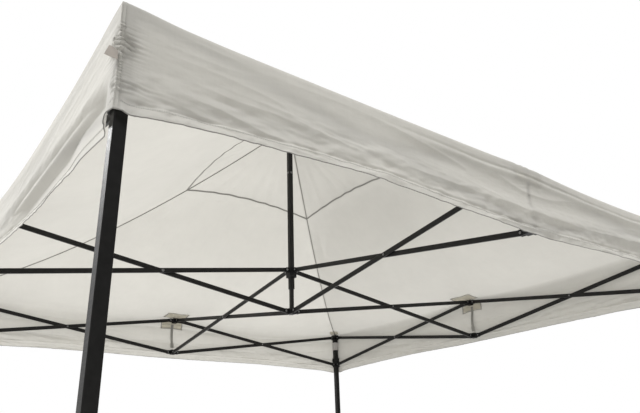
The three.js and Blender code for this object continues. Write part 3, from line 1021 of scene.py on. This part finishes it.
def hanging_strap(side, width, length):
    """A webbing strap that hangs inside a valance, sways a little, and ends in a sewn tab."""
    rows = np.linspace(0.0, 1.0, 60)
    high = EAVE_Z - 0.052
    drop = high - rows * length
    path_x = EAVE_REACH - 0.0045 - 0.010 * smooth(rows / 0.5) + 0.004 * np.sin(rows * 5.0)
    fall = (high + 0.03 - drop) / (EAVE_Z - HEM_Z)
    path_x = np.minimum(path_x, valance_points(side, 0.0, fall)[:, 0] - 0.0035)
    path_y = 0.004 + 0.005 * np.sin(rows * 3.2)
    half = width / 2 * (1.0 + 0.45 * smooth((rows - 0.80) / 0.02))
    across = np.linspace(-1, 1, 7)[None, :]
    y = path_y[:, None] + half[:, None] * across
    x = path_x[:, None] + 0.0012 * np.cos(across * 1.5)
    thick = 0.0011
    grid = np.stack(np.broadcast_arrays(x, y, drop[:, None]), -1)
    return slab(turned(side, grid), -thick, thick)


def corner_strips(side):
    """A strip inside each end of a valance, and a patch under each foot of a roof panel, both lightened with
    painted light.
    """
    hanging, feet = Shell(), Shell()
    fall = np.linspace(0.0, 0.88, 70)[:, None]
    for sign, width in ((1, 0.032), (-1, 0.036)):
        order = slice(None, None, -sign)
        t = sign * (EAVE_REACH - np.linspace(0.013, width, 16))[None, :]
        grid = valance_points(side, t, fall)[:, order]
        hanging.add(*slab(turned(side, grid), -0.0021, -0.0010), STRIP_PAINTED_LIGHT)
        folded = grid[:, -3:] if sign < 0 else grid[:, :3]
        hanging.add(*slab(turned(side, folded), -0.0027, -0.0021), BORDER)
        reach = EAVE_REACH - 0.022 - np.linspace(0.070, 0.0, 22)[:, None]
        share = np.linspace(0.0, 1.0, 12)[None, :]
        inward = 0.002 + 0.045 * share * smooth((reach - EAVE_REACH + 0.10) / 0.03)
        grid = roof_points(side, reach, sign * (1.0 - inward / reach))[:, order]
        feet.add(*slab(turned(side, grid), -0.0020, -0.0009), STRIP_PAINTED_LIGHT)
    return (
        hanging.build(f"corner_strips_{side}", f"upper_hub_{side}", "canopy_fabric", side),
        feet.build(f"roof_feet_{side}", f"canopy_{side}", "canopy_fabric", side),
    )


def corner_tab(corner):
    """The tab sewn into a corner seam, which sticks out beyond the side that starts there."""
    starts = next(side for side, (_, start, _) in SIDES.items() if start == corner)
    rows = np.linspace(0.0, 1.0, 14)[:, None]
    across = np.linspace(-0.5, 0.5, 12)[None, :]
    out = rows * (0.0225 + 0.008 * across)
    x = 0.0012 - 0.004 * rows + 0.0016 * np.sin(rows * 4.0 + 3.0 * across)
    z = -across * 0.023 + 0.008 * rows
    grid = np.stack(np.broadcast_arrays(x, 0.002 - out, z), -1)
    grid = grid + np.array([EAVE_REACH, -EAVE_REACH, EAVE_Z - 0.150])
    shell = Shell()
    shell.add(*slab(turned(starts, grid), -0.0013, 0.0013), TAB)
    shell.build(f"corner_tab_{corner}", f"outer_leg_{corner}", "webbing")


def leg_strap(side, corner):
    """The canopy's strap, wrapped round the leg at a side's end, between the top bracket and the slider."""
    shell = Shell()
    half, height, layer = 0.0158, 0.062, 0.0014
    low = UPPER - 0.100
    for k, (grow, start, stop) in enumerate(((0.0, 0.0, 1.0), (layer + 0.0003, 0.05, 0.42))):
        outline = rounded_rectangle(half + grow + layer / 2, half + grow + layer / 2, 0.0045, 6)
        outline.append(outline[0])
        path = np.array(outline)
        walked = run_length(path)
        marks = np.linspace(start, stop, 90)
        x, y = sampled(marks, walked / walked[-1], path).T
        rows = np.linspace(0, 1, 12)[:, None]
        sway = 0.0004 * np.sin(marks * 40 + rows * 5)
        tall = height if k == 0 else 0.86 * height
        z = low + (1 - rows) * tall + 0.0035 * (k == 1)
        grid = np.stack(np.broadcast_arrays(x * (1 + sway), y * (1 + sway), z), -1)
        grid = grid + np.array([LEG_REACH, LEG_REACH, 0.0])
        shell.add(*slab(turned(side, grid), -layer / 2, layer / 2), VELCRO)
    shell.build(f"leg_strap_{corner}", f"outer_leg_{corner}", "webbing")


PEAK_BUTTON = [(0.0001, 0.0), (0.011, 0.0), (0.0115, 0.0015), (0.009, 0.0042), (0.0045, 0.0058),
               (0.0001, 0.0062)]


def peak_patch():
    """The reinforcement sewn over the top of the roof, and its button."""
    shell = Shell()
    for side in SIDES:
        reach = np.linspace(0.004, 0.085, 14)[:, None]
        u = np.linspace(-0.998, 0.998, 25)[None, :]
        shell.add(*slab(turned(side, roof_points(side, reach, u)), 0.0005, 0.0016), PATCH_PAINTED_LIGHT)
    shell.add(*lathe(PEAK_BUTTON, 28), TAPE_PAINTED_SHADE, Matrix.Translation((0, 0, PEAK_Z - 0.004)))
    shell.build("peak_patch", "mast", "canopy_fabric")


# ---------------- Stage, light and camera


def sky():
    """A studio that lights from behind and above. The camera itself sees it as even white."""
    world = bpy.data.worlds.new("studio")
    bpy.context.scene.world = world
    n = Nodes(world)
    where = n.coordinates("Generated")

    def facing(direction, *limits):
        """Eases between two levels, the last two limits, as the direction's cosine passes the first two."""
        dot = n.node("ShaderNodeVectorMath")
        dot.operation = "DOT_PRODUCT"
        n.put(dot, 0, where)
        n.put(dot, 1, Vector(direction).normalized())
        step = n.node("ShaderNodeMapRange")
        step.interpolation_type = "SMOOTHSTEP"
        for key, value in enumerate((dot.outputs["Value"], *limits)):
            n.put(step, key, value)
        return step.outputs[0]

    behind = facing((0.57, 0.73, 0.38), 0.20, 0.78, 0.12, 1.0)
    overhead = facing((0, 0, 1), 0.30, 0.90, 0.12, 1.05)
    white = n.node("ShaderNodeLightPath").outputs["Is Camera Ray"]
    seen = n.maths("MAXIMUM", n.maths("MAXIMUM", behind, overhead), white)
    n.finish(n.node("ShaderNodeBackground", Color=seen).outputs[0], "World")


def soft_sun(name, direction, strength, angle):
    sun = bpy.data.lights.new(name, "SUN")
    sun.energy = strength
    sun.angle = math.radians(angle)
    in_scene(name, sun).rotation_euler = Vector(direction).to_track_quat("Z", "Y").to_euler()


def stage():
    bpy.ops.mesh.primitive_plane_add(size=60.0, location=(0, 0, -0.0005))
    floor = bpy.context.object
    floor.name = "floor"
    floor.data.materials.append(FLOOR)
    sky()
    soft_sun("back_light", (-0.40, 0.70, 0.58), 2.6, 24.0)
    soft_sun("key", (-0.52, -0.35, 0.78), 2.4, 9.0)
    bpy.context.scene.view_settings.view_transform = "Standard"


CAMERA_AT = (-1.8066, -2.5921, 1.3684)
CAMERA_TURN = (52.125, 22.38, -1.919)  # yaw, pitch and roll, in degrees


def camera():
    yaw, pitch, roll = (math.radians(a) for a in CAMERA_TURN)
    forward = Vector((math.cos(pitch) * math.cos(yaw), math.cos(pitch) * math.sin(yaw), math.sin(pitch)))
    right = Vector((math.sin(yaw), -math.cos(yaw), 0.0))
    up = right.cross(forward)
    right, up = (
        math.cos(roll) * right + math.sin(roll) * up,
        -math.sin(roll) * right + math.cos(roll) * up,
    )
    data = bpy.data.cameras.new("camera")
    data.sensor_width = 36.0
    data.lens = 34.40
    data.clip_end = 200.0
    obj = in_scene("camera", data)
    obj.matrix_world = Matrix.Translation(CAMERA_AT) @ Matrix((right, up, -forward)).transposed().to_4x4()
    bpy.context.scene.camera = obj


bars_and_rivets()
hubs_and_legs()
small_fittings()
canopy()
for side_name, (_, _, corner_name) in SIDES.items():
    middle_patch(side_name)
    corner_tab(corner_name)
    leg_strap(side_name, corner_name)
peak_patch()
stage()
camera()
